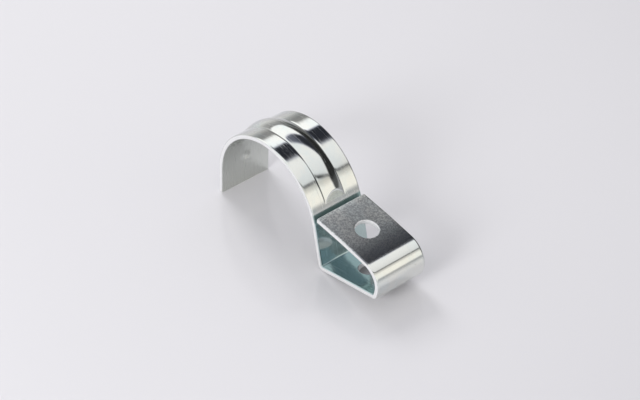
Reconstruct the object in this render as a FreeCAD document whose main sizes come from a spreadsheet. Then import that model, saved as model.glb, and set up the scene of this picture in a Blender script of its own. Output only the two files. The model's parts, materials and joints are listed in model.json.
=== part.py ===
import FreeCAD, Part
import math
import os
import Sketcher

# Conduit strap, folded from a single strip of sheet steel.
#
# The strip starts at a straight leg, goes over the conduit in an arch, comes down a
# straight flank and folds outwards into a flat foot.  The foot doubles back over itself
# through a round bend, and its free end stops just short of the arch.  A screw passes
# through both layers of the foot.  A pressed bead stiffens the arch.
#
# Frame: the origin is the conduit's centre, half-way across the strip.  The conduit runs
# along Y, +Z is up and the foot points to +X.  The leg's end and the foot's fold stand on
# one level plane.

SIZES = [
    # the sheet
    ("strip_width", 18.0, "width of the strip, along the conduit"),
    ("sheet_gauge", 1.6, "thickness of the sheet"),
    ("edge_round", 0.35, "rounding of the sheared edges, on the punched side"),
    # the arch and the leg
    ("conduit_diameter", 40.0, "outside diameter of the conduit"),
    ("conduit_clearance", 0.35, "gap all round between conduit and arch"),
    ("leg_drop", 9.0, "leg's end below the conduit's centre"),
    ("flank_angle", 14.0, "flank's lean out from the vertical, degrees"),
    # the foot
    ("fold_radius", 0.45, "inside radius of the two sharp folds"),
    ("foot_angle", 11.3, "slope of the foot's lower layer, degrees"),
    ("foot_flat", 21.5, "flat length of the foot's lower layer"),
    ("nose_angle", 14.5, "lean of the nose above its fold, degrees"),
    ("nose_flat", 1.1, "flat length of the nose"),
    ("bend_radius", 5.4, "inside radius of the round bend"),
    ("top_angle", 6.3, "slope of the foot's upper layer, degrees"),
    ("free_end_gap", 0.85, "gap between the free end and the arch"),
    # the screw holes
    ("screw_diameter", 6.0, "shank of the fixing screw"),
    ("screw_clearance", 0.5, "gap all round between screw and hole"),
    # the bead along the arch
    ("bead_width", 7.1, "width of the bead at the sheet's surface"),
    ("bead_height", 0.95, "height of the bead above the sheet"),
    ("bead_start_angle", 27.0, "where the ramp at the flank end starts, degrees"),
    ("bead_ramp_angle", 7.5, "length of that ramp round the arch, degrees"),
    ("bead_full_angle", 127.0, "where the bead starts to fade, degrees"),
    ("bead_end_angle", 169.0, "where the bead has faded out, degrees"),
    # the locating dimple inside the leg
    ("dimple_diameter", 3.2, "width of the dimple at the sheet's surface"),
    ("dimple_depth", 0.35, "depth of the dimple"),
    ("dimple_level", 1.1, "dimple's centre above the conduit's centre"),
]

size = {name: value for name, value, note in SIZES}

# The ribs that make the bead run past its edges, below the sheet's surface, by this
# share of the gauge.
SKIRT = 0.3

# The cutter that makes the bead's ramp opens out past the ramp's foot by this angle.
CUTTER_SPREAD = 4.0


def make_sheet(doc):
    """The driving dimensions: a name, a plain number and a note in each row."""
    sheet = doc.addObject("Spreadsheet::Sheet", "sizes")
    for row, (name, value, note) in enumerate(SIZES, start=1):
        sheet.set(f"A{row}", name)
        sheet.set(f"B{row}", str(value))
        sheet.set(f"C{row}", note)
        sheet.setAlias(f"B{row}", name)
    doc.recompute()
    return sheet


def tied(text):
    """An expression in which each size's name becomes its cell in the sheet."""
    for name in sorted(size, key=len, reverse=True):
        text = text.replace(name, f"<<sizes>>.{name}")
    return text


def new_body(doc, name):
    body = doc.addObject("PartDesign::Body", name)
    body.Label = name
    return body


def origin_plane(body, role):
    return next(f for f in body.Origin.OriginFeatures if f.Role == role)


def new_sketch(body, name, role):
    """A sketch on one of the body's own origin planes."""
    sketch = body.newObject("Sketcher::SketchObject", name)
    sketch.AttachmentSupport = [(origin_plane(body, role), "")]
    sketch.MapMode = "FlatFace"
    return sketch


def dimension(sketch, name, expression, kind, *where):
    """A named dimension, driven by the sheet."""
    index = sketch.addConstraint(Sketcher.Constraint(kind, *where))
    sketch.renameConstraint(index, name)
    sketch.setExpression(f"Constraints.{name}", tied(expression))


def point(x, y):
    return FreeCAD.Vector(x, y, 0)


def closed_lines(sketch, corners):
    """Lines from corner to corner, joined into a closed ring."""
    ahead = corners[1:] + corners[:1]
    lines = [sketch.addGeometry(Part.LineSegment(start, end), False)
             for start, end in zip(corners, ahead)]
    for line, following in zip(lines, lines[1:] + lines[:1]):
        sketch.addConstraint(Sketcher.Constraint("Coincident", line, 2, following, 1))
    return lines


# ---------------------------------------------------------------- the folded strip

def arch_outside():
    return size["conduit_diameter"] / 2 + size["conduit_clearance"] + size["sheet_gauge"]


def strip_route():
    """The strip's upper face from the leg's end to the free end, as runs and turns.

    A run has a length.  A turn has an angle, positive to the left, and the radius of
    that face.
    """
    outside = arch_outside()
    fold = size["fold_radius"]
    lean = math.radians(size["flank_angle"])
    fold_level = size["leg_drop"] - fold - size["sheet_gauge"]
    flank = ((outside + fold) * math.sin(lean) + fold_level) / math.cos(lean)
    route = [
        ("run", size["leg_drop"]),
        ("turn", size["flank_angle"] - 180.0, outside),
        ("run", flank),
        ("turn", 90.0 - size["flank_angle"] + size["foot_angle"], fold),
        ("run", size["foot_flat"]),
        ("turn", 90.0 - size["nose_angle"] - size["foot_angle"], fold),
        ("run", size["nose_flat"]),
        ("turn", 90.0 + size["nose_angle"] - size["top_angle"], size["bend_radius"]),
    ]
    return route


def step(place, heading, move, gauge):
    """Follow one run or turn; return its two faces and the new place and heading."""
    left = FreeCAD.Vector(-math.sin(heading), math.cos(heading), 0)
    below = place - left * gauge
    if move[0] == "run":
        ahead = FreeCAD.Vector(math.cos(heading), math.sin(heading), 0) * move[1]
        upper = Part.LineSegment(place, place + ahead)
        lower = Part.LineSegment(below, below + ahead)
        return upper, lower, place + ahead, heading
    turn = math.radians(move[1])
    side = 1.0 if turn > 0 else -1.0
    centre = place + left * (side * move[2])
    first = heading - side * math.pi / 2
    last = first + turn
    faces = []
    for radius in (move[2], move[2] + side * gauge):
        ring = Part.Circle(centre, FreeCAD.Vector(0, 0, 1), radius)
        faces.append(Part.ArcOfCircle(ring, min(first, last), max(first, last)))
    arrive = centre + FreeCAD.Vector(math.cos(last), math.sin(last), 0) * move[2]
    return faces[0], faces[1], arrive, heading + turn


def free_end_run(place, heading):
    """Length of the last run, up to the gap before the arch."""
    ahead = FreeCAD.Vector(math.cos(heading), math.sin(heading), 0)
    reach = arch_outside() + size["free_end_gap"]
    along = -place.dot(ahead)
    return along - math.sqrt(along ** 2 - place.dot(place) + reach ** 2)


def draw_outline(sketch):
    """The strip's edge view: two faces one gauge apart, closed at both ends."""
    gauge = size["sheet_gauge"]
    place = point(-arch_outside(), -size["leg_drop"])
    heading = math.pi / 2
    upper, lower, turns = [], [], []
    for move in strip_route():
        top, under, place, heading = step(place, heading, move, gauge)
        upper.append(top)
        lower.append(under)
        turns.append(move[0] == "turn" and move[1] < 0)
    last = ("run", free_end_run(place, heading))
    top, under, place, heading = step(place, heading, last, gauge)
    upper.append(top)
    lower.append(under)
    turns.append(False)

    above = [sketch.addGeometry(piece, False) for piece in upper]
    below = [sketch.addGeometry(piece, False) for piece in lower]
    leg_end = sketch.addGeometry(
        Part.LineSegment(lower[0].StartPoint, upper[0].StartPoint), False)
    free_end = sketch.addGeometry(
        Part.LineSegment(upper[-1].EndPoint, lower[-1].EndPoint), False)

    # Each face is one smooth chain.  A right turn's arc is stored end first.
    for chain in (above, below):
        for index in range(len(chain) - 1):
            leave = 1 if turns[index] else 2
            enter = 2 if turns[index + 1] else 1
            sketch.addConstraint(Sketcher.Constraint(
                "Tangent", chain[index], leave, chain[index + 1], enter))
    sketch.addConstraint(Sketcher.Constraint("Coincident", leg_end, 1, below[0], 1))
    sketch.addConstraint(Sketcher.Constraint("Coincident", leg_end, 2, above[0], 1))
    sketch.addConstraint(Sketcher.Constraint("Coincident", free_end, 1, above[-1], 2))
    sketch.addConstraint(Sketcher.Constraint("Coincident", free_end, 2, below[-1], 2))
    return above, below, leg_end, free_end


def outline(body):
    sketch = new_sketch(body, "strip_outline", "XZ_Plane")
    above, below, leg_end, free_end = draw_outline(sketch)
    leg, arch, flank, fold, foot, toe, nose, bend, top = range(9)

    # Both faces of every bend share its centre, and the arch's centre is the origin.
    for turn in (arch, fold, toe, bend):
        sketch.addConstraint(Sketcher.Constraint(
            "Coincident", above[turn], 3, below[turn], 3))
    sketch.addConstraint(Sketcher.Constraint("Coincident", above[arch], 3, -1, 1))

    # The leg is upright and ends square, and the free end is square to its layer.
    sketch.addConstraint(Sketcher.Constraint("Vertical", above[leg]))
    sketch.addConstraint(Sketcher.Constraint("Vertical", below[leg]))
    sketch.addConstraint(Sketcher.Constraint("Horizontal", leg_end))
    sketch.addConstraint(Sketcher.Constraint("Parallel", above[top], below[top]))
    sketch.addConstraint(Sketcher.Constraint("Perpendicular", free_end, above[top]))

    inside = "conduit_diameter / 2 + conduit_clearance"
    radii = [
        ("arch_inside", below[arch], inside),
        ("arch_outside", above[arch], inside + " + sheet_gauge"),
        ("fold_inside", above[fold], "fold_radius"),
        ("fold_outside", below[fold], "fold_radius + sheet_gauge"),
        ("toe_inside", above[toe], "fold_radius"),
        ("toe_outside", below[toe], "fold_radius + sheet_gauge"),
        ("bend_inside", above[bend], "bend_radius"),
        ("bend_outside", below[bend], "bend_radius + sheet_gauge"),
    ]
    for name, arc, expression in radii:
        start = sketch.Geometry[arc].Radius
        dimension(sketch, name, expression, "Radius", arc, start)

    # The leg's end and the lowest line of the fold are level.
    drop = size["leg_drop"]
    gauge = size["sheet_gauge"]
    fold_level = drop - size["fold_radius"] - gauge
    dimension(sketch, "leg_level", "-leg_drop", "DistanceY", -1, 1, above[leg], 1, -drop)
    dimension(sketch, "fold_level", "-(leg_drop - fold_radius - sheet_gauge)",
              "DistanceY", -1, 1, above[fold], 3, -fold_level)

    slopes = [
        ("flank_slope", above[flank], "flank_angle - 90", size["flank_angle"] - 90),
        ("foot_slope", above[foot], "foot_angle", size["foot_angle"]),
        ("nose_slope", above[nose], "90 - nose_angle", 90 - size["nose_angle"]),
        ("top_layer_slope", above[top], "180 - top_angle", 180 - size["top_angle"]),
    ]
    for name, line, expression, start in slopes:
        dimension(sketch, name, f"({expression}) * 1 deg", "Angle", line, math.radians(start))
    dimension(sketch, "foot_length", "foot_flat", "Distance", above[foot], size["foot_flat"])
    dimension(sketch, "nose_length", "nose_flat", "Distance", above[nose], size["nose_flat"])
    dimension(sketch, "free_end_reach", inside + " + sheet_gauge + free_end_gap",
              "Distance", -1, 1, above[top], 2, arch_outside() + size["free_end_gap"])
    return sketch


# ---------------------------------------------------------------- features of the strip

def pad_strip(doc, body):
    """Half the strip's width, and its mirror image beyond the middle plane."""
    pad = body.newObject("PartDesign::Pad", "half_strip")
    pad.Profile = outline(body)
    pad.setExpression("Length", tied("strip_width / 2"))
    doc.recompute()
    mirror = body.newObject("PartDesign::Mirrored", "whole_strip")
    mirror.Originals = [pad]
    mirror.MirrorPlane = (origin_plane(body, "XZ_Plane"), [""])
    mirror.Refine = False
    body.Tip = mirror
    doc.recompute()


def crossing(start, along, line_point, line_along):
    """Where a line through start meets a second line."""
    across = point(-line_along.y, line_along.x)
    return start + along * ((line_point - start).dot(across) / along.dot(across))


def draw_half_section(sketch, foot, layer, start, up):
    """A hole's half section: a box beside its axis, through one layer of the foot."""
    gauge = size["sheet_gauge"]
    radius = size["screw_diameter"] / 2 + size["screw_clearance"]
    side = point(up.y, -up.x)
    low = start - up * (1.5 * gauge)
    high = start + up * (1.5 * gauge)
    corners = [low, low + side * radius, high + side * radius, high]
    axis = sketch.addGeometry(Part.LineSegment(low, high), True)
    edges = closed_lines(sketch, corners)
    sketch.addConstraint(Sketcher.Constraint("Coincident", axis, 1, edges[0], 1))
    sketch.addConstraint(Sketcher.Constraint("Coincident", axis, 2, edges[2], 2))
    sketch.addConstraint(Sketcher.Constraint("Perpendicular", axis, layer))
    sketch.addConstraint(Sketcher.Constraint("Perpendicular", axis, edges[0]))
    sketch.addConstraint(Sketcher.Constraint("Parallel", axis, edges[1]))
    sketch.addConstraint(Sketcher.Constraint("Perpendicular", axis, edges[2]))
    dimension(sketch, "hole_radius", "screw_diameter / 2 + screw_clearance",
              "Distance", edges[0], radius)
    dimension(sketch, "cut_length", "3 * sheet_gauge", "Distance", axis, 3 * gauge)
    return axis


def hole_groove(doc, body, name, sketch):
    groove = body.newObject("PartDesign::Groove", name)
    groove.Profile = sketch
    groove.ReferenceAxis = (sketch, ["Axis0"])
    groove.Angle = 360
    groove.Refine = False
    doc.recompute()


def edge_of(drawing, piece):
    """The name of the drawn edge that lies on a piece of the outline."""
    line = drawing.Geometry[piece]
    ends = {(round(end.x, 4), round(end.y, 4)) for end in (line.StartPoint, line.EndPoint)}
    for index, edge in enumerate(drawing.Shape.Edges, start=1):
        if {(round(v.X, 4), round(v.Z, 4)) for v in edge.Vertexes} == ends:
            return f"Edge{index}"
    raise RuntimeError("the outline has lost an edge")


def foot_frame(doc, sketch):
    """The foot's two flats, brought into a sketch, and the screw's axis between them."""
    drawing = doc.getObject("strip_outline")
    sketch.addExternal(drawing.Name, edge_of(drawing, 4))
    sketch.addExternal(drawing.Name, edge_of(drawing, 8))
    lower, upper = sketch.ExternalGeo[-2], sketch.ExternalGeo[-1]
    middle = (lower.StartPoint + lower.EndPoint) * 0.5
    along = (lower.EndPoint - lower.StartPoint).normalize()
    return upper, middle, point(-along.y, along.x)


def lower_hole(doc, body):
    """The hole in the foot's lower layer, at the middle of its flat."""
    sketch = new_sketch(body, "lower_hole_section", "XZ_Plane")
    upper, middle, up = foot_frame(doc, sketch)
    gauge = size["sheet_gauge"]
    axis = draw_half_section(sketch, -3, -3, middle - up * (gauge / 2), up)
    mark = sketch.addGeometry(Part.Point(middle), True)
    sketch.addConstraint(Sketcher.Constraint("Symmetric", -3, 1, -3, 2, mark, 1))
    sketch.addConstraint(Sketcher.Constraint("PointOnObject", mark, 1, axis))
    dimension(sketch, "cut_below", "2 * sheet_gauge", "Distance", axis, 1, -3, 2 * gauge)
    hole_groove(doc, body, "lower_hole", sketch)


def upper_hole(doc, body):
    """The hole in the upper layer, where the screw's axis crosses the layer's middle."""
    sketch = new_sketch(body, "upper_hole_section", "XZ_Plane")
    upper, middle, up = foot_frame(doc, sketch)
    gauge = size["sheet_gauge"]
    along = (upper.EndPoint - upper.StartPoint).normalize()
    out = point(along.y, -along.x)
    centre = crossing(middle, up, upper.StartPoint + out * (gauge / 2), along)
    axis = draw_half_section(sketch, -3, -4, centre, out)
    screw = sketch.addGeometry(Part.LineSegment(middle, centre), True)
    sketch.addConstraint(Sketcher.Constraint("Symmetric", -3, 1, -3, 2, screw, 1))
    sketch.addConstraint(Sketcher.Constraint("Perpendicular", screw, -3))
    sketch.addConstraint(Sketcher.Constraint("PointOnObject", screw, 2, axis))
    dimension(sketch, "hole_depth", "sheet_gauge / 2", "Distance", screw, 2, -4, gauge / 2)
    dimension(sketch, "cut_below", "sheet_gauge", "Distance", axis, 1, -4, gauge)
    hole_groove(doc, body, "upper_hole", sketch)


def round_edges(doc, body):
    """Round the long edges of the strip's upper face, where the shear pressed them down.

    The lower face's edges stay sharp, as a shear leaves them.
    """
    half = size["strip_width"] / 2
    drawing = doc.getObject("strip_outline")
    marks = []
    for piece in drawing.Geometry[:9]:
        middle = piece.value((piece.FirstParameter + piece.LastParameter) / 2)
        for across in (-half, half):
            marks.append(Part.Vertex(middle.x, across, middle.y))
    solid = body.Tip
    names = []
    for index, edge in enumerate(solid.Shape.Edges, start=1):
        if edge.BoundBox.YLength < 1e-6 and any(
                edge.distToShape(mark)[0] < 1e-5 for mark in marks):
            names.append(f"Edge{index}")
    fillet = body.newObject("PartDesign::Fillet", "rounded_edges")
    fillet.Base = (solid, names)
    fillet.setExpression("Radius", tied("edge_round"))
    fillet.Refine = False
    doc.recompute()


def make_strip(doc):
    body = new_body(doc, "folded_strip")
    pad_strip(doc, body)
    lower_hole(doc, body)
    upper_hole(doc, body)
    round_edges(doc, body)
    return body


# ---------------------------------------------------------------- the bead

# The bead's outer skin is a rib that is joined on, and its hollow is a rib that is cut
# away.  Both have the same centres, so the sheet keeps its gauge under the bead.
INSIDE = "conduit_diameter / 2 + conduit_clearance"

# How much of the bead's height is left at each step of its fade on the leg's side.
FADE = [1.0, 0.84, 0.5, 0.16, 0.02]


def rib_sizes(hollow):
    """The surface a rib rises from and its half width there: start values and formulas."""
    inside = size["conduit_diameter"] / 2 + size["conduit_clearance"]
    half = size["bead_width"] / 2
    if not hollow:
        surface_rule = INSIDE + " + sheet_gauge"
        return inside + size["sheet_gauge"], half, surface_rule, "bead_width / 2"
    half = math.sqrt(half ** 2 - 2 * size["sheet_gauge"] * size["bead_height"])
    half_rule = "sqrt((bead_width / 2) ^ 2 - 2 * sheet_gauge * bead_height)"
    return inside, half, INSIDE, half_rule


def rib_section(body, name, hollow, step_count):
    """A crowned section across the bead, on a plane that holds the conduit's axis."""
    surface, half, surface_rule, half_rule = rib_sizes(hollow)
    part_left = FADE[step_count]
    rise = size["bead_height"] * part_left
    radius = (half ** 2 + rise ** 2) / (2 * rise)
    skirt = half + SKIRT * size["sheet_gauge"]
    base = surface - size["sheet_gauge"] / 2
    centre = point(0, surface + rise - radius)
    reach = math.asin(skirt / radius)
    sketch = new_sketch(body, name, "YZ_Plane")

    share = step_count / (len(FADE) - 1)
    turn = size["bead_full_angle"] + share * (size["bead_end_angle"] - size["bead_full_angle"]) - 90
    sketch.AttachmentOffset = FreeCAD.Placement(
        point(0, 0), FreeCAD.Rotation(FreeCAD.Vector(-1, 0, 0), turn))
    sketch.setExpression("AttachmentOffset.Rotation.Angle", tied(
        f"bead_full_angle + {share} * (bead_end_angle - bead_full_angle) - 90"))

    ring = Part.Circle(centre, FreeCAD.Vector(0, 0, 1), radius)
    crown = sketch.addGeometry(
        Part.ArcOfCircle(ring, math.pi / 2 - reach, math.pi / 2 + reach), False)
    shoulder = centre.y + radius * math.cos(reach)
    left = sketch.addGeometry(
        Part.LineSegment(point(-skirt, shoulder), point(-skirt, base)), False)
    bottom = sketch.addGeometry(
        Part.LineSegment(point(-skirt, base), point(skirt, base)), False)
    right = sketch.addGeometry(
        Part.LineSegment(point(skirt, base), point(skirt, shoulder)), False)
    for pair in ((crown, 2, left, 1), (left, 2, bottom, 1), (bottom, 2, right, 1),
                 (right, 2, crown, 1)):
        sketch.addConstraint(Sketcher.Constraint("Coincident", *pair))
    sketch.addConstraint(Sketcher.Constraint("Vertical", left))
    sketch.addConstraint(Sketcher.Constraint("Vertical", right))
    sketch.addConstraint(Sketcher.Constraint("Horizontal", bottom))
    sketch.addConstraint(Sketcher.Constraint("PointOnObject", crown, 3, -2))

    rise_rule = f"(bead_height * {part_left})"
    radius_rule = f"((({half_rule}) ^ 2 + {rise_rule} ^ 2) / (2 * {rise_rule}))"
    dimension(sketch, "crown_radius", radius_rule, "Radius", crown, radius)
    dimension(sketch, "crown_centre", f"{surface_rule} + {rise_rule} - {radius_rule}",
              "DistanceY", -1, 1, crown, 3, centre.y)
    dimension(sketch, "half_skirt", f"{half_rule} + {SKIRT} * sheet_gauge",
              "DistanceX", -1, 1, right, 1, skirt)
    dimension(sketch, "whole_skirt", f"2 * ({half_rule} + {SKIRT} * sheet_gauge)",
              "DistanceX", left, 2, right, 1, 2 * skirt)
    dimension(sketch, "base_level", f"{surface_rule} - sheet_gauge / 2",
              "DistanceY", -1, 1, bottom, 1, base)
    return sketch


def ramp_cut(doc, body, hollow):
    """Cut the rib's flank end down to a flat ramp across its whole width."""
    surface, half, surface_rule, half_rule = rib_sizes(hollow)
    crown = surface + size["bead_height"]
    clear = crown + 2 * size["sheet_gauge"]
    low = size["bead_start_angle"]
    high = low + size["bead_ramp_angle"]
    crown_rule = surface_rule + " + bead_height"
    clear_rule = crown_rule + " + 2 * sheet_gauge"
    corners = [
        (surface, low, surface_rule, "bead_start_angle"),
        (crown, high, crown_rule, "bead_start_angle + bead_ramp_angle"),
        (clear, high, clear_rule, "bead_start_angle + bead_ramp_angle"),
        (clear, low - CUTTER_SPREAD, clear_rule, f"bead_start_angle - {CUTTER_SPREAD}"),
    ]
    places = [point(reach * math.cos(math.radians(angle)), reach * math.sin(math.radians(angle)))
              for reach, angle, reach_rule, angle_rule in corners]
    sketch = new_sketch(body, "ramp_section", "XZ_Plane")
    edges = closed_lines(sketch, places)
    for index, (reach, angle, reach_rule, angle_rule) in enumerate(corners):
        dimension(sketch, f"corner_{index}_out", f"({reach_rule}) * cos(({angle_rule}) * 1 deg)",
                  "DistanceX", -1, 1, edges[index], 1, places[index].x)
        dimension(sketch, f"corner_{index}_up", f"({reach_rule}) * sin(({angle_rule}) * 1 deg)",
                  "DistanceY", -1, 1, edges[index], 1, places[index].y)
    pocket = body.newObject("PartDesign::Pocket", "ramp")
    pocket.Profile = sketch
    pocket.SideType = "Symmetric"
    pocket.setExpression("Length", tied("strip_width"))
    doc.recompute()


def make_rib(doc, name, hollow):
    """A rib round the arch: full height, then a ramp at one end and a fade at the other."""
    body = new_body(doc, name)
    sections = [rib_section(body, f"section_{count}", hollow, count)
                for count in range(len(FADE))]
    doc.recompute()
    ring = body.newObject("PartDesign::Revolution", "full_height")
    ring.Profile = sections[0]
    ring.ReferenceAxis = (sections[0], ["H_Axis"])
    ring.setExpression("Angle", tied("bead_full_angle - bead_start_angle"))
    doc.recompute()
    if ring.Shape.CenterOfMass.x < 0:
        ring.Reversed = True
        doc.recompute()
    ramp_cut(doc, body, hollow)
    fade = body.newObject("PartDesign::AdditiveLoft", "fade")
    fade.Profile = sections[0]
    fade.Sections = sections[1:]
    doc.recompute()
    return body


# ---------------------------------------------------------------- the whole strap

def make_dimple(doc):
    """A ball whose cap marks the inside of the leg."""
    ball = doc.addObject("Part::Sphere", "dimple")
    ball.Label = "dimple_ball"
    radius = "((dimple_diameter / 2) ^ 2 + dimple_depth ^ 2) / (2 * dimple_depth)"
    ball.setExpression("Radius", tied(radius))
    ball.setExpression("Placement.Base.x", tied(f"{radius} - dimple_depth - ({INSIDE})"))
    ball.setExpression("Placement.Base.z", tied("dimple_level"))
    return ball


def joined(doc, kind, name, base, tool):
    result = doc.addObject(kind, name)
    result.Base = base
    result.Tool = tool
    result.Refine = False
    doc.recompute()
    return result


def check(doc):
    """Stop if any object failed to compute or any solid is broken."""
    for item in doc.Objects:
        if "Invalid" in item.State or "Error" in item.State:
            raise RuntimeError(f"{item.Name} failed: {item.State}")
        if hasattr(item, "Shape") and item.TypeId.startswith(("Part", "Sketcher")):
            if item.Shape.isNull() or not item.Shape.isValid():
                raise RuntimeError(f"{item.Name} has no valid shape")


def main():
    doc = FreeCAD.newDocument("conduit_strap")
    make_sheet(doc)
    strip = make_strip(doc)
    skin = make_rib(doc, "bead_skin", False)
    hollow = make_rib(doc, "bead_hollow", True)
    dimple = make_dimple(doc)
    doc.recompute()
    beaded = joined(doc, "Part::Fuse", "beaded_strip", strip, skin)
    pressed = joined(doc, "Part::Cut", "pressed_strip", beaded, hollow)
    strap = joined(doc, "Part::Cut", "strap", pressed, dimple)
    strap.Label = "conduit_strap"
    check(doc)
    os.makedirs("parts", exist_ok=True)
    strap.Shape.exportStep(f"parts/{strap.Label}.step")
    print(strap.Label, "volume", round(strap.Shape.Volume, 2), "solids", len(strap.Shape.Solids))


main()
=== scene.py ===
import json
import math

import bmesh
import bpy
import numpy as np
from mathutils import Matrix, Vector


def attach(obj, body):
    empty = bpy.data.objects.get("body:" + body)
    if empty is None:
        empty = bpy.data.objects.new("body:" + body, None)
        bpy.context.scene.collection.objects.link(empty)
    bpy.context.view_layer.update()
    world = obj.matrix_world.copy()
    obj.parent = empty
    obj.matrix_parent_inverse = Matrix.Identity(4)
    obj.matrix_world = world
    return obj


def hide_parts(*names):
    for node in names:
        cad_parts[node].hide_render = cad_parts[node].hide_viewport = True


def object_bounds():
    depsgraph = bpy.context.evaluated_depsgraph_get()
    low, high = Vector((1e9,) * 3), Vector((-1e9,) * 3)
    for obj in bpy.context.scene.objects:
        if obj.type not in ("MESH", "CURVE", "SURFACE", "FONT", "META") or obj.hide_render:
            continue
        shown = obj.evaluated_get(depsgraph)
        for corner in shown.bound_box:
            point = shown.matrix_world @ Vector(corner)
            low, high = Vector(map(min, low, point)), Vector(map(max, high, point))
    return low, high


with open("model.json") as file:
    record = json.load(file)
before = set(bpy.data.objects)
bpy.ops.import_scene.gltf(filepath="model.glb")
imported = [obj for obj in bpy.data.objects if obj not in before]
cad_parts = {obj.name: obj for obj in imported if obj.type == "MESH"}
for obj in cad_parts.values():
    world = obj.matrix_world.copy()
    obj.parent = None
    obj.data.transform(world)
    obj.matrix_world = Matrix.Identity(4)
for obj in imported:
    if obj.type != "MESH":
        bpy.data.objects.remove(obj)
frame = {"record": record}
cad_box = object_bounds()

MM = 0.001

# ---------------------------------------------------------------- sizes, in millimetres

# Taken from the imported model: its box and the record's mounts.
mounts = {mount["name"]: mount for mount in frame["record"]["mounts"]}

WIDTH = (cad_box[1][1] - cad_box[0][1]) / MM
GAUGE = mounts["lower_hole"]["dims"]["length_mm"]
HOLE = mounts["lower_hole"]["dims"]["r_mm"]
ARCH_IN = mounts["conduit_seat"]["dims"]["r_mm"]
ARCH_OUT = ARCH_IN + GAUGE
FLOOR = cad_box[0][2] / MM

# The strip's route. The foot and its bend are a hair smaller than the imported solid's, so
# that the sheet stays inside its box.
FLANK_LEAN = 14.0
FOOT_RISE = 11.3
FOOT_FLAT = 21.498
NOSE_LEAN = 14.5
NOSE_FLAT = 1.1
TOP_SLOPE = 6.3
FOLD = 0.45
BEND = 5.398
FREE_END_GAP = 0.85
TOP_BOW = 0.16
NEAR_FOLD = 0.25
NEAR_END = 0.3

# The sheared edges: a rounding on the upper face and a wider roll-over on the lower one.
EDGE_ROUND = 0.35
EDGE_ROLL = 0.55
EDGE_ROLL_DEEP = 0.34
LEG_END_ROUND = 0.05
FREE_END_ROUND = 0.25
END_CAP_INSET = 0.08

# The holes: each sits in a square patch, with a narrow flat land round its rounded rim.
HOLE_ROUND = 0.28
HOLE_LAND = 0.1
HOLE_PATCH = 4.6

# The bead, with angles round the arch from the foot's side: a ramp, then a long fade.
# Its edges are pressed in as fine creases, and a hair is kept free inside the solid's box.
BEAD_HALF = 3.55
BEAD_RISE = 0.95
RAMP_LOW = 27.0
RAMP_HIGH = 34.5
RAMP_REACH = 25.0
FADE_START = 127.0
FADE_END = 169.0
FADE_LEAST = 0.02
RAMP_BLEND = 0.16
CREASE_BLEND = 0.04
CREASE_OUTSIDE = 0.30
CREASE_INSIDE = 0.22
CREASE_DEPTH = 0.065
PRESS_ENTER = 3.0
PRESS_END = 157.0
PRESS_LEAVE = 25.0
BOX_SPARE = 0.001

DIMPLE_LEVEL = 1.1
DIMPLE_RADIUS = 1.6
DIMPLE_DEPTH = 0.35


# ---------------------------------------------------------------- the strip's route

def heading_vector(heading):
    return np.array([math.cos(heading), math.sin(heading)])


def left_of(heading):
    return np.array([-math.sin(heading), math.cos(heading)])


class Route:
    """The strip's upper face, seen from the side, as stations with a place and a normal."""

    def __init__(self, place, heading):
        self.place = np.array(place, float)
        self.heading = heading
        self.reach = 0.0
        self.stations = []

    def add(self, place, normal, name, along, reach):
        self.stations.append({"place": place, "normal": normal, "part": name,
                              "along": along, "reach": self.reach + reach})

    def run(self, name, length, marks, bow=0.0):
        """A straight run, with stations at these distances from its start."""
        ahead = heading_vector(self.heading)
        normal = left_of(self.heading)
        for mark in marks:
            share = 2 * mark / length - 1
            place = self.place + ahead * mark - normal * (bow * (1 - share * share))
            self.add(place, normal, name, mark, mark)
        self.place = self.place + ahead * length
        self.reach += length

    def turn(self, name, angle, radius, marks):
        """A turn to the left (or right if negative), with stations at these angles."""
        side = 1.0 if angle > 0 else -1.0
        centre = self.place + left_of(self.heading) * (side * radius)
        for mark in marks:
            heading = self.heading + side * math.radians(mark)
            place = centre - left_of(heading) * (side * radius)
            self.add(place, left_of(heading), name, mark, radius * math.radians(mark))
        self.heading += math.radians(angle)
        self.place = centre - left_of(self.heading) * (side * radius)
        self.reach += radius * math.radians(abs(angle))


def between(low, high, count):
    """Evenly spaced values inside a stretch, without its ends."""
    return list(np.linspace(low, high, count + 2)[1:-1])


def patch_marks(centre):
    """Stations across a hole's square patch."""
    return [centre + HOLE_PATCH * value for value in np.linspace(-1, 1, 13)]


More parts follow.
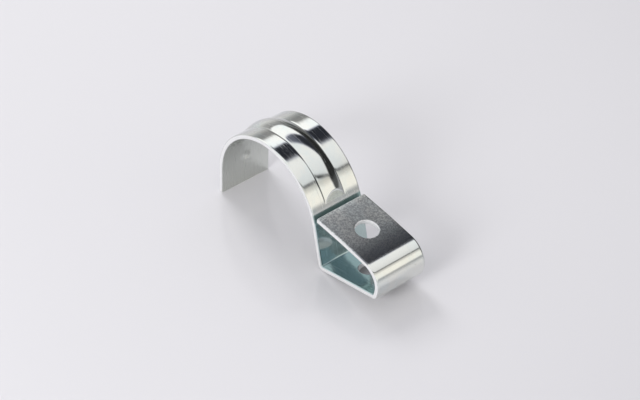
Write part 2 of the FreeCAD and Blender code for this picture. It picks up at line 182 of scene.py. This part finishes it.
def strip_route():
    """The stations from the leg's end to the free end, and where the two holes are."""
    route = Route((-ARCH_OUT, FLOOR), math.pi / 2)
    drop = -FLOOR
    route.run("leg", drop, [0.0, NEAR_END, 2.0, 4.5, 7.0] + between(8.0, drop, 6))
    arch_turn = 180.0 - FLANK_LEAN
    marks = list(np.arange(0.0, 14.0, 0.8)) + list(np.arange(14.0, 143.0, 1.5))
    marks += list(np.arange(143.0, 155.0, 0.3)) + list(np.arange(155.0, arch_turn, 1.5))
    route.turn("arch", -arch_turn, ARCH_OUT, marks)

    lean = math.radians(FLANK_LEAN)
    fold_level = drop - FOLD - GAUGE
    flank = ((ARCH_OUT + FOLD) * math.sin(lean) + fold_level) / math.cos(lean)
    route.run("flank", flank, [0.0] + between(0, flank, 5))
    angle = 90 - FLANK_LEAN + FOOT_RISE
    route.turn("fold", angle, FOLD, list(np.linspace(0, angle, 13)))
    middle = FOOT_FLAT / 2
    last = FOOT_FLAT - NEAR_FOLD
    marks = [NEAR_FOLD] + between(NEAR_FOLD, middle - HOLE_PATCH, 2) + patch_marks(middle)
    marks += between(middle + HOLE_PATCH, last, 2) + [last]
    route.run("foot", FOOT_FLAT, marks)
    angle = 90 - NOSE_LEAN - FOOT_RISE
    route.turn("toe", angle, FOLD, list(np.linspace(0, angle, 11)))
    route.run("nose", NOSE_FLAT, between(0, NOSE_FLAT, 2))
    angle = 90 + NOSE_LEAN - TOP_SLOPE
    route.turn("bend", angle, BEND, list(np.linspace(0, angle, 41)))

    ahead = heading_vector(route.heading)
    along = -float(route.place @ ahead)
    reach = ARCH_OUT + FREE_END_GAP
    top = along - math.sqrt(along ** 2 - float(route.place @ route.place) + reach ** 2)
    hole = upper_hole_mark(route.place, route.heading)
    marks = [NEAR_END] + between(NEAR_END, hole - HOLE_PATCH, 3) + patch_marks(hole)
    marks += between(hole + HOLE_PATCH, top - NEAR_END, 4) + [top - NEAR_END, top]
    route.run("top", top, marks, TOP_BOW)
    return route.stations, middle, hole


def loop_start():
    """The strip's length up to the place on the arch that faces the free end.

    That is a few degrees past the foot of the bead's ramp.
    """
    return -FLOOR + ARCH_OUT * math.radians(184 - RAMP_LOW)


def upper_hole_mark(place, heading):
    """How far along the top layer its hole is, from the record's mount."""
    hole = mounts["upper_hole"]["pos_m"]
    offset = np.array([hole[0] / MM, hole[2] / MM]) - place
    return float(offset @ heading_vector(heading))


# ---------------------------------------------------------------- the bead and dimple

def soft_low(first, second, blend):
    """The lower of two heights, with the corner between them rounded."""
    gap = np.maximum(blend - np.abs(first - second), 0.0) / blend
    return np.minimum(first, second) - gap * gap * blend / 4


def soft_high(first, second, blend):
    return -soft_low(-first, -second, blend)


def bead_rise(angle, y, surface, half):
    """Height of the bead above a face of the arch, at an angle round it and across it.

    The crown is a round arc across the strip. The ramp is a plane that cuts it off near the
    foot, up to the reach past which it would be far above.
    """
    share = np.clip((FADE_END - angle) / (FADE_END - FADE_START), FADE_LEAST, 1.0)
    rise = BEAD_RISE * share * share * (3 - 2 * share)
    radius = (half ** 2 + rise ** 2) / (2 * rise)
    crown = np.sqrt(np.maximum(radius ** 2 - y ** 2, 0)) - radius + rise
    low, high = math.radians(RAMP_LOW), math.radians(RAMP_HIGH)
    foot = surface * heading_vector(low)
    head = (surface + BEAD_RISE) * heading_vector(high)
    along = head - foot
    ray = heading_vector(math.radians(angle))
    across = np.array([-along[1], along[0]])
    ramp = float(foot @ across) / float(ray @ across) - surface
    if angle > RAMP_HIGH + RAMP_REACH:
        ramp = ARCH_OUT
    height = soft_high(soft_low(crown, ramp, RAMP_BLEND), 0.0, CREASE_BLEND)
    return max(height - CREASE_BLEND / 4 - BOX_SPARE, 0.0)


def crease_drop(angle, y):
    """Depth of the fine groove that the press leaves along both sides of the bead."""
    away = abs(y) - BEAD_HALF
    width = CREASE_OUTSIDE if away > 0 else CREASE_INSIDE
    return CREASE_DEPTH * math.exp(-(away / width) ** 2) * pressed(angle)


def pressed(angle):
    """How firmly the bead's edge is pressed in: 1 along the bead, 0 beyond its ends."""
    enter = np.clip((angle - RAMP_LOW) / PRESS_ENTER, 0, 1)
    leave = np.clip((PRESS_END - angle) / PRESS_LEAVE, 0, 1)
    return float(enter * leave)


def dimple_rise(level, y):
    """Height of the dimple inside the leg, a shallow part of a ball."""
    away = math.hypot(y, level - DIMPLE_LEVEL)
    if away >= DIMPLE_RADIUS:
        return 0.0
    ball = (DIMPLE_RADIUS ** 2 + DIMPLE_DEPTH ** 2) / (2 * DIMPLE_DEPTH)
    return math.sqrt(ball ** 2 - away ** 2) - ball + DIMPLE_DEPTH


def face_lift(station, y, lower):
    """How far a face is pushed out along its normal, by the bead and the dimple."""
    on_arch = station["part"] == "arch"
    angle = 180.0 - station["along"] if on_arch else 180.0
    lift = 0.0
    if on_arch and lower:
        half = math.sqrt(BEAD_HALF ** 2 - 2 * GAUGE * BEAD_RISE)
        lift = float(bead_rise(angle, y, ARCH_IN, half))
    elif on_arch:
        lift = float(bead_rise(angle, y, ARCH_OUT, BEAD_HALF)) - crease_drop(angle, y)
    if lower and angle > 150 and station["part"] in ("leg", "arch"):
        level = station["place"][1] * (ARCH_IN / ARCH_OUT if angle < 180 else 1.0)
        lift += dimple_rise(level, y)
    return lift


# ---------------------------------------------------------------- the strap's mesh

def across_marks():
    """Places across the strip: dense at the bead's creases and at the rounded edges."""
    flat = WIDTH / 2 - EDGE_ROUND
    half = [0.0, 0.4, 0.8, 1.2, 1.6, 2.0, 2.4, 2.65, 2.85, 3.0, 3.1, 3.2]
    half += [BEAD_HALF + 0.06 * step for step in range(-4, 11)]
    half += [4.35, HOLE_PATCH, 5.6, 7.0, 8.0, flat - 0.15, flat]
    return [-value for value in half[:0:-1]] + half


def edge_profile():
    """One sheared edge from the upper face to the lower, with both corners rounded."""

    def corner(turn, wide, deep, level, side):
        """A point of a corner, whose zinc gives way to bare metal over its last third."""
        step = math.radians(turn)
        return (WIDTH / 2 - wide * (1 - math.sin(step)), level + side * deep * (1 - math.cos(step)),
                max(0.0, (turn - 60) / 30))

    profile = [corner(turn, EDGE_ROUND, EDGE_ROUND, 0.0, 1) for turn in (18, 36, 54, 72, 90)]
    profile += [corner(turn, EDGE_ROLL, EDGE_ROLL_DEEP, GAUGE, -1) for turn in (90, 60, 30, 5)]
    return profile


def lower_place(y):
    """The lower face's place for an upper one: its last two make room for the roll-over."""
    if abs(y) < WIDTH / 2 - EDGE_ROUND - 0.5:
        return y
    return y - math.copysign(EDGE_ROLL - EDGE_ROUND, y)


def section_loop():
    """The strip's section as a closed loop of (across, depth, face, rim)."""
    marks = across_marks()
    side = edge_profile()
    loop = [(y, 0.0, "upper", 0.0) for y in marks]
    loop += [(y, depth, "edge", rim) for y, depth, rim in side]
    loop += [(lower_place(y), GAUGE, "lower", 0.0) for y in marks[::-1]]
    loop += [(-y, depth, "edge", rim) for y, depth, rim in side[::-1]]
    return loop


def new_vert(mesh, station, y, depth, rim):
    """A vertex of the sheet, which remembers its place on the flat strip and its kind.

    The strip's place is (along, across, depth) in millimetres, and rim is 1 on the
    sheared edges, the ends and the walls of the holes.
    """
    place = station["place"] - station["normal"] * depth
    vert = mesh.verts.new((place[0] * MM, y * MM, place[1] * MM))
    vert[mesh.verts.layers.float_vector["strip"]] = (station["reach"], y, depth)
    vert[mesh.verts.layers.float["rim"]] = rim
    return vert


def close_end(mesh, row, station, loop, outward, rounding):
    """Close an end of the strip with a rounded corner, which turns bare, and a flat face."""
    ahead = np.array([station["normal"][1], -station["normal"][0]]) * outward
    middle = GAUGE / 2
    rings = [row]
    for vert in row:
        vert.co -= Vector((ahead[0], 0, ahead[1])) * (rounding * MM)
        vert[mesh.verts.layers.float["rim"]] = 0.7
    inset = [(rounding * (1 - math.cos(turn)), rounding * (1 - math.sin(turn)), bare)
             for turn, bare in zip(np.radians([30, 60, 90]), (0.4, 0.9, 1.0))]
    inset.append((rounding + END_CAP_INSET, 0.0, 1.0))
    for inward, back, bare in inset:
        spot = dict(station, place=station["place"] - ahead * back)
        shrink_y = (WIDTH / 2 - inward) / (WIDTH / 2)
        shrink_d = (middle - inward) / middle
        rings.append([
            new_vert(mesh, spot, y * shrink_y, middle + (depth - middle) * shrink_d,
                     max(rim, bare)) for y, depth, face, rim in loop])
    for ring, following in zip(rings, rings[1:]):
        for j in range(len(ring)):
            k = (j + 1) % len(ring)
            mesh.faces.new((ring[j], ring[k], following[k], following[j]))
    mesh.faces.new(rings[-1])


def in_patch(station, centre, part):
    return station["part"] == part and abs(station["along"] - centre) < HOLE_PATCH + 1e-6


def add_hole(mesh, rows, stations, loop, part, centre):
    """Join the two faces of one layer through a round hole with rounded rims, bare inside."""
    inside = [i for i, s in enumerate(stations) if in_patch(s, centre, part)]
    first, last = inside[0], inside[-1]
    upper = [j for j, (y, depth, face, rim) in enumerate(loop)
             if face == "upper" and abs(y) < HOLE_PATCH + 1e-6]
    lower = [j for j, (y, depth, face, rim) in enumerate(loop)
             if face == "lower" and abs(y) < HOLE_PATCH + 1e-6][::-1]

    def border(columns):
        ring = [(first, column) for column in columns]
        ring += [(row, columns[-1]) for row in inside[1:]]
        ring += [(last, column) for column in columns[-2::-1]]
        ring += [(row, columns[0]) for row in inside[-2:0:-1]]
        return ring

    alongs = [stations[row]["along"] for row in inside]
    places = np.array([stations[row]["place"] for row in inside])

    def ring_at(radius, depth):
        verts = []
        for row, column in border(upper):
            station = stations[row]
            angle = math.atan2(loop[column][0], station["along"] - centre)
            along = centre + radius * math.cos(angle)
            place = [np.interp(along, alongs, places[:, axis]) for axis in (0, 1)]
            reach = station["reach"] - station["along"] + along
            spot = {"place": np.array(place), "normal": station["normal"], "reach": reach}
            bare = 1.0 if radius < HOLE + HOLE_ROUND / 5 else 0.0
            verts.append(new_vert(mesh, spot, radius * math.sin(angle), depth, bare))
        return verts

    land = HOLE + HOLE_ROUND + HOLE_LAND
    corner = [(HOLE + HOLE_ROUND * (1 - math.sin(step)), HOLE_ROUND * (1 - math.cos(step)))
              for step in np.radians([0, 30, 60, 90])]
    rings = [[rows[row][column] for row, column in border(upper)], ring_at(land, 0.0)]
    rings += [ring_at(radius, depth) for radius, depth in corner]
    rings += [ring_at(radius, GAUGE - depth) for radius, depth in corner[::-1]]
    rings += [ring_at(land, GAUGE), [rows[row][column] for row, column in border(lower)]]
    for ring, following in zip(rings, rings[1:]):
        count = len(ring)
        for k in range(count):
            mesh.faces.new((ring[k], ring[(k + 1) % count],
                            following[(k + 1) % count], following[k]))
    return set(upper), set(lower), first, last


def strap_mesh():
    """The folded sheet, and the strip's length up to its top layer."""
    stations, lower_mark, upper_mark = strip_route()
    loop = section_loop()
    mesh = bmesh.new()
    mesh.verts.layers.float_vector.new("strip")
    mesh.verts.layers.float.new("rim")
    rows = []
    for station in stations:
        row = []
        for y, depth, face, rim in loop:
            lift = 0.0
            if face != "edge":
                lift = face_lift(station, y, face == "lower")
            row.append(new_vert(mesh, station, y, depth - lift, rim))
        rows.append(row)

    holes = [add_hole(mesh, rows, stations, loop, "foot", lower_mark),
             add_hole(mesh, rows, stations, loop, "top", upper_mark)]

    def pierced(row, columns):
        return any(first <= row < last and (columns <= upper or columns <= lower)
                   for upper, lower, first, last in holes)

    for i in range(len(rows) - 1):
        for j in range(len(loop)):
            k = (j + 1) % len(loop)
            if not pierced(i, {j, k}):
                mesh.faces.new((rows[i][j], rows[i][k], rows[i + 1][k], rows[i + 1][j]))

    close_end(mesh, rows[0], stations[0], loop, -1.0, LEG_END_ROUND)
    close_end(mesh, rows[-1], stations[-1], loop, 1.0, FREE_END_ROUND)
    bmesh.ops.recalc_face_normals(mesh, faces=mesh.faces)
    data = bpy.data.meshes.new("strap_sheet")
    mesh.to_mesh(data)
    mesh.free()
    data.shade_smooth()
    strap = bpy.data.objects.new("strap_sheet", data)
    bpy.context.collection.objects.link(strap)
    return strap, min(s["reach"] for s in stations if s["part"] == "top")


# ---------------------------------------------------------------- shader nodes

class Shading:
    """Short calls for a node tree: each adds a node and returns its output."""

    def __init__(self, tree):
        self.tree = tree

    def node(self, kind, **settings):
        node = self.tree.nodes.new(kind)
        for name, value in settings.items():
            setattr(node, name, value)
        return node

    def put(self, value, socket):
        """Link an output, or set a plain value."""
        if isinstance(value, bpy.types.NodeSocket):
            self.tree.links.new(value, socket)
        else:
            socket.default_value = value

    def math(self, operation, *values):
        node = self.node("ShaderNodeMath", operation=operation)
        for value, socket in zip(values, node.inputs):
            self.put(value, socket)
        return node.outputs[0]

    def rise(self, value, low, high, start=0.0, end=1.0):
        """A smooth step from start to end while value goes from low to high."""
        node = self.node("ShaderNodeMapRange", interpolation_type="SMOOTHSTEP")
        for number, socket in zip((value, low, high, start, end), node.inputs):
            self.put(number, socket)
        return node.outputs[0]

    def window(self, value, low, high, blur):
        """1 between low and high, 0 outside, with blurred ends."""
        enter = self.rise(value, low - blur, low + blur)
        leave = self.rise(value, high - blur, high + blur, 1.0, 0.0)
        return self.math("MULTIPLY", enter, leave)

    def mix(self, share, first, second):
        """Two numbers or two colours, mixed."""
        colour = isinstance(first, tuple) or isinstance(second, tuple) or (
            isinstance(first, bpy.types.NodeSocket) and first.type in ("RGBA", "VECTOR"))
        node = self.node("ShaderNodeMix", data_type="RGBA" if colour else "FLOAT")
        base = 6 if colour else 2
        self.put(share, node.inputs[0])
        self.put(first, node.inputs[base])
        self.put(second, node.inputs[base + 1])
        return node.outputs[2 if colour else 0]

    def noise(self, place, scale, detail, roughness):
        node = self.node("ShaderNodeTexNoise")
        self.put(place, node.inputs["Vector"])
        self.put(scale, node.inputs["Scale"])
        self.put(detail, node.inputs["Detail"])
        self.put(roughness, node.inputs["Roughness"])
        return node.outputs["Fac"]

    def cells(self, place, scale):
        """A different number between 0 and 1 in every small cell."""
        node = self.node("ShaderNodeTexVoronoi")
        self.put(place, node.inputs["Vector"])
        self.put(scale, node.inputs["Scale"])
        return node.outputs["Color"]

    def stretched(self, place, scale):
        node = self.node("ShaderNodeMapping", vector_type="POINT")
        self.put(place, node.inputs["Vector"])
        self.put(scale, node.inputs["Scale"])
        return node.outputs["Vector"]

    def attribute(self, name, output):
        node = self.node("ShaderNodeAttribute", attribute_name=name)
        return node.outputs[output]

    def bump(self, height, strength, distance, normal=None):
        """A bumped normal, on top of another one if that is given."""
        node = self.node("ShaderNodeBump")
        self.put(height, node.inputs["Height"])
        self.put(strength, node.inputs["Strength"])
        self.put(distance, node.inputs["Distance"])
        if normal is not None:
            self.put(normal, node.inputs["Normal"])
        return node.outputs["Normal"]


def new_material(name):
    material = bpy.data.materials.new(name)
    material.use_nodes = True
    tree = material.node_tree
    return material, Shading(tree), tree.nodes["Principled BSDF"]


# ---------------------------------------------------------------- materials

ZINC = (0.71, 0.745, 0.735, 1)
ZINC_WARM = (0.755, 0.765, 0.735, 1)
# Painted shade for the inside of the arch, darker further up from the leg's end.
ARCH_SHADE = (0.66, 0.68, 0.645, 1)
ARCH_SHADE_DEEP = (0.46, 0.48, 0.455, 1)
# Painted shade, darker and bluer, for the inside of the foot's loop.
LOOP_SHADE = (0.51, 0.615, 0.625, 1)
SHEARED = (0.80, 0.80, 0.81, 1)
SPECK = (0.33, 0.28, 0.22, 1)
PIT = (0.28, 0.29, 0.31, 1)
# Painted shade for the top layer near its bend.
PAINTED_BEND_SHADE = (0.13, 0.14, 0.16, 1)
# Painted shade for the gap behind the free end.
GAP_SHADE = (0.30, 0.40, 0.39, 1)
CARD = (0.745, 0.735, 0.765, 1)


def strip_zones(nodes, place, loop_start, top_start):
    """Parts of the strip, each 1 inside and 0 outside, from the place on the flat strip."""
    parts = nodes.node("ShaderNodeSeparateXYZ")
    nodes.put(place, parts.inputs[0])
    along, across, depth = parts.outputs

    on_upper = nodes.rise(depth, 0.3 * GAUGE, 0.7 * GAUGE, 1.0, 0.0)
    on_lower = nodes.math("SUBTRACT", 1.0, on_upper)
    past_arch = nodes.rise(along, loop_start - 0.5, loop_start + 0.5)
    on_top = nodes.math("MULTIPLY", on_lower,
                        nodes.rise(along, top_start - 1.7, top_start - 1.0))
    # The far half of the top layer, away from its bend, is rubbed paler.
    rubbed = nodes.math("MULTIPLY", nodes.rise(across, 3.8, 8.2),
                        nodes.rise(along, top_start + 3.0, top_start + 11.0))
    # The top layer is painted darker towards its bend: painted shade.
    bend_shade = nodes.rise(along, top_start - 1.0, top_start + 9.0, 0.85, 0.0)
    # Behind the free end, where it nearly touches the arch, the arch is painted darker and greener:
    # painted shade.
    facing = nodes.window(along, loop_start, loop_start + 2.4, 0.3)
    return {
        "in_arch": nodes.math("MULTIPLY", on_lower, nodes.math("SUBTRACT", 1.0, past_arch)),
        # Painted shade inside the arch deepens over this stretch.
        "arch_shade_depth": nodes.rise(along, 4.0, 20.0),
        # Painted shade inside the foot's loop.
        "shaded_loop": nodes.math("MULTIPLY", on_upper, past_arch),
        "gap_shade": nodes.math("MULTIPLY", on_upper, facing),
        "on_top": on_top,
        "rubbed": nodes.math("MULTIPLY", rubbed, on_top),
        "bend_shade": nodes.math("MULTIPLY", bend_shade, on_top),
    }


def zinc_colour(nodes, strip, zones, grain, rim):
    """Zinc with warm clouds and a few brown specks, pitted on the top layer.

    Painted shade darkens the inside of the arch, the inside of the foot's loop (bluer there), the
    gap behind the free end and the top layer towards its bend.
    """
    cloud = nodes.noise(strip, 0.16, 3.0, 0.55)
    dots = nodes.node("ShaderNodeTexVoronoi")
    nodes.put(strip, dots.inputs["Vector"])
    nodes.put(0.22, dots.inputs["Scale"])
    speck = nodes.rise(dots.outputs["Distance"], 0.02, 0.05, 1.0, 0.0)
    pits = nodes.math("MULTIPLY", zones["on_top"], nodes.rise(grain, 0.25, 0.75, 0.72, 0.0))

    colour = nodes.mix(nodes.rise(cloud, 0.38, 0.62), ZINC, ZINC_WARM)
    colour = nodes.mix(nodes.math("MULTIPLY", speck, 0.7), colour, SPECK)
    colour = nodes.mix(pits, colour, PIT)
    # Painted shade: the top layer darkens towards its bend.
    colour = nodes.mix(zones["bend_shade"], colour, PAINTED_BEND_SHADE)
    # Painted shade inside the arch, darker further up from the leg's end.
    arch_shade = nodes.mix(zones["arch_shade_depth"], ARCH_SHADE, ARCH_SHADE_DEEP)
    colour = nodes.mix(zones["in_arch"], colour, arch_shade)
    # Painted shade inside the foot's loop.
    colour = nodes.mix(zones["shaded_loop"], colour, LOOP_SHADE)
    # Painted shade in the gap behind the free end.
    colour = nodes.mix(zones["gap_shade"], colour, GAP_SHADE)
    return nodes.mix(rim, colour, SHEARED)


def zinc_roughness(nodes, strip, zones, rim):
    """Glossy in uneven patches, with drawn scratches, and matt on the sheared edges."""
    patches = nodes.rise(nodes.noise(strip, 0.35, 4.0, 0.6), 0.35, 0.7, 0.07, 0.12)
    patches = nodes.mix(zones["in_arch"], patches, 0.22)
    drawn = nodes.noise(nodes.stretched(strip, (0.035, 2.6, 0.3)), 1.0, 1.0, 0.5)
    scratch = nodes.window(drawn, 0.60, 0.625, 0.012)
    patches = nodes.mix(nodes.math("MULTIPLY", scratch, 0.8), patches, 0.34)
    patches = nodes.mix(zones["on_top"], patches, nodes.mix(zones["rubbed"], 0.28, 0.38))
    shear = nodes.noise(nodes.stretched(strip, (4.0, 0.4, 0.5)), 1.0, 3.0, 0.6)
    return nodes.mix(rim, patches, nodes.rise(shear, 0.3, 0.7, 0.38, 0.52))


def zinc_material(loop_start, top_start):
    """Bright zinc on pressed sheet, with paler sheared edges.

    The flat top layer keeps the rolled sheet's grain, which pressing smooths elsewhere.
    """
    material, nodes, shader = new_material("bright_zinc")
    strip = nodes.attribute("strip", "Vector")
    rim = nodes.attribute("rim", "Fac")
    zones = strip_zones(nodes, strip, loop_start, top_start)
    grain = nodes.cells(strip, 3.4)
    nodes.put(zinc_colour(nodes, strip, zones, grain, rim), shader.inputs["Base Color"])
    nodes.put(zinc_roughness(nodes, strip, zones, rim), shader.inputs["Roughness"])
    nodes.put(nodes.mix(rim, 1.0, 0.30), shader.inputs["Metallic"])

    rolling = nodes.noise(nodes.stretched(strip, (0.10, 1.8, 1.0)), 1.0, 2.0, 0.6)
    fine = nodes.bump(grain, nodes.mix(zones["on_top"], 0.0, 0.3), 0.00004)
    nodes.put(nodes.bump(rolling, 0.3, 0.00002, fine), shader.inputs["Normal"])
    return material


def floor_material():
    """Smooth pale card."""
    material, nodes, shader = new_material("floor_card")
    shader.inputs["Base Color"].default_value = CARD
    shader.inputs["Roughness"].default_value = 0.17
    return material


# ---------------------------------------------------------------- the studio, in metres

FLOOR_HALF = 3.0


def make_floor():
    """A wide sheet of card under the strap."""
    mesh = bmesh.new()
    bmesh.ops.create_grid(mesh, x_segments=4, y_segments=4, size=FLOOR_HALF)
    data = bpy.data.meshes.new("floor")
    mesh.to_mesh(data)
    mesh.free()
    floor = bpy.data.objects.new("floor", data)
    floor.location.z = cad_box[0][2]
    bpy.context.collection.objects.link(floor)
    data.materials.append(floor_material())


def room_level(nodes, x, y, z, u, v):
    """The room: brighter in front, dimmer on the leg's side and dark on the far side."""
    room = nodes.rise(y, -0.7, 0.0, 0.90, 0.62)
    dim = nodes.math("MULTIPLY", nodes.rise(x, -0.7, -0.4, 1.0, 0.0), nodes.rise(y, -0.4, 0.1))
    room = nodes.mix(dim, room, nodes.rise(z, 0.05, 0.32, 0.80, 0.42))
    wall = nodes.math("MULTIPLY", nodes.rise(y, 0.35, 0.75), nodes.rise(z, -0.1, 0.15))
    level = nodes.mix(wall, room, 0.10)
    dark = nodes.math("MULTIPLY", nodes.window(u, -1.6, 1.5, 0.35), nodes.rise(v, 1.05, 1.35))
    return nodes.mix(dark, level, 0.03)


def side_wall(nodes, x, y, z, u):
    """1 on the warm, pale wall at the foot's side."""
    aside = nodes.math("SUBTRACT", y, nodes.math("MULTIPLY", x, 0.85))
    wall = nodes.math("MULTIPLY", nodes.rise(z, 0.06, 0.20), nodes.rise(u, 1.02, 1.16))
    return nodes.math("MULTIPLY", wall, nodes.rise(aside, -0.10, 0.10, 1.0, 0.0))


def softbox_levels(nodes, level, u, v):
    """Two overhead softboxes with dark rims, added to a level, and the gap between them.

    The gap is dark, and its edge slants so that it narrows forwards.
    """
    near = nodes.rise(v, 0.95, 1.25, 1.0, 0.0)
    left_rim = nodes.math("MULTIPLY", nodes.window(u, -2.38, -1.94, 0.10),
                          nodes.rise(v, -0.6, 0.1))
    level = nodes.mix(left_rim, level, 0.31)
    left = nodes.math("MULTIPLY", nodes.window(u, -1.88, -0.50, 0.10), near)
    level = nodes.mix(left, level, 1.27)

    slant = nodes.math("SUBTRACT", u, nodes.math("MULTIPLY", v, 0.42))
    past_gap = nodes.rise(slant, -0.38, -0.20)
    ahead = nodes.math("SUBTRACT", u, nodes.math("MULTIPLY", v, 0.12))
    right = nodes.math("MULTIPLY", past_gap, nodes.rise(ahead, 0.84, 0.94, 1.0, 0.0))
    right = nodes.math("MULTIPLY", right, near)
    level = nodes.mix(right, level, nodes.rise(u, 0.0, 1.2, 1.06, 0.86))
    right_rim = nodes.math("MULTIPLY", nodes.window(ahead, 0.86, 1.03, 0.06), near)
    level = nodes.mix(right_rim, level, nodes.rise(v, -0.3, 0.6, 0.05, 0.24))

    gap = nodes.math("MULTIPLY", nodes.rise(u, -0.72, -0.58),
                     nodes.math("SUBTRACT", 1.0, past_gap))
    gap = nodes.math("MULTIPLY", gap, nodes.window(v, -0.4, 1.2, 0.30))
    return nodes.mix(gap, level, nodes.rise(v, 0.1, 0.6, 0.17, 0.035)), gap


def make_world():
    """A studio for metal to mirror, a soft light for matt surfaces, and a plain backdrop.

    A direction is told by where it meets a ceiling one unit up: u along X and v along Y.
    """
    world = bpy.data.worlds.new("studio")
    bpy.context.scene.world = world
    world.use_nodes = True
    nodes = Shading(world.node_tree)
    direction = nodes.node("ShaderNodeTexCoord").outputs["Generated"]
    parts = nodes.node("ShaderNodeSeparateXYZ")
    nodes.put(direction, parts.inputs[0])
    x, y, z = parts.outputs
    height = nodes.math("MAXIMUM", z, 0.02)
    u = nodes.math("DIVIDE", x, height)
    v = nodes.math("DIVIDE", y, height)

    warm = side_wall(nodes, x, y, z, u)
    level = nodes.mix(warm, room_level(nodes, x, y, z, u, v), nodes.rise(u, 1.15, 1.75, 0.75, 1.15))
    level, gap = softbox_levels(nodes, level, u, v)
    tint = nodes.mix(warm, (1.0, 1.0, 1.0, 1), (1.0, 0.97, 0.90, 1))
    tint = nodes.mix(gap, tint, (0.86, 0.90, 1.15, 1))

    # Matt surfaces are lit evenly, a little more from the horizon than from above.
    soft = nodes.rise(z, 0.0, 1.0, 0.97, 0.43)
    rays = nodes.node("ShaderNodeLightPath").outputs
    shade = nodes.node("ShaderNodeBackground")
    nodes.put(tint, shade.inputs["Color"])
    nodes.put(nodes.mix(rays["Is Diffuse Ray"], level, soft), shade.inputs["Strength"])
    plain = nodes.node("ShaderNodeBackground")
    nodes.put(CARD, plain.inputs["Color"])
    both = nodes.node("ShaderNodeMixShader")
    nodes.put(rays["Is Camera Ray"], both.inputs[0])
    nodes.put(shade.outputs[0], both.inputs[1])
    nodes.put(plain.outputs[0], both.inputs[2])
    output = world.node_tree.nodes["World Output"]
    nodes.put(both.outputs[0], output.inputs["Surface"])


def make_lamp(name, place, size, power):
    """A square softbox aimed at the strap. Metal mirrors the studio's softboxes instead."""
    light = bpy.data.lights.new(name, "AREA")
    light.size = size
    light.energy = power
    lamp = bpy.data.objects.new(name, light)
    lamp.location = place
    lamp.rotation_euler = (-Vector(place)).to_track_quat("-Z", "Y").to_euler()
    lamp.visible_glossy = False
    bpy.context.collection.objects.link(lamp)


def make_camera():
    """The photograph's viewpoint: from the foot's side, 40 degrees up, with a long lens.

    The azimuth is counted from +X, and the camera is rolled a little.
    """
    camera_data = bpy.data.cameras.new("camera")
    camera = bpy.data.objects.new("camera", camera_data)
    azimuth, elevation, roll = (math.radians(angle) for angle in (-42.2924, 39.9930, 2.0293))
    flat = math.cos(elevation)
    ahead = -Vector((flat * math.cos(azimuth), flat * math.sin(azimuth), math.sin(elevation)))
    level = ahead.cross(Vector((0, 0, 1))).normalized()
    across = level * math.cos(roll) + level.cross(ahead) * math.sin(roll)
    up = across.cross(ahead)
    place = Vector((448.01, -395.76, 498.59)) * MM
    frame_matrix = Matrix((across, up, -ahead)).transposed().to_4x4()
    frame_matrix.translation = place
    camera.matrix_world = frame_matrix
    camera_data.sensor_width = 36
    camera_data.sensor_fit = "HORIZONTAL"
    camera_data.lens = 149.8
    camera_data.clip_start = 0.01
    camera_data.clip_end = 20
    bpy.context.collection.objects.link(camera)
    bpy.context.scene.camera = camera


strap, top_start = strap_mesh()
strap.data.materials.append(zinc_material(loop_start(), top_start))
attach(strap, "root")
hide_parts("conduit_strap")

make_floor()
make_world()
make_lamp("front", (0.15, -0.8, 0.38), 0.3, 2.2)
make_lamp("side", (-0.7, 0.15, 0.6), 0.35, 2.9)
make_lamp("fill", (0.20, -0.72, 0.42), 0.25, 1.5)
make_camera()
bpy.context.scene.view_settings.view_transform = "Standard"
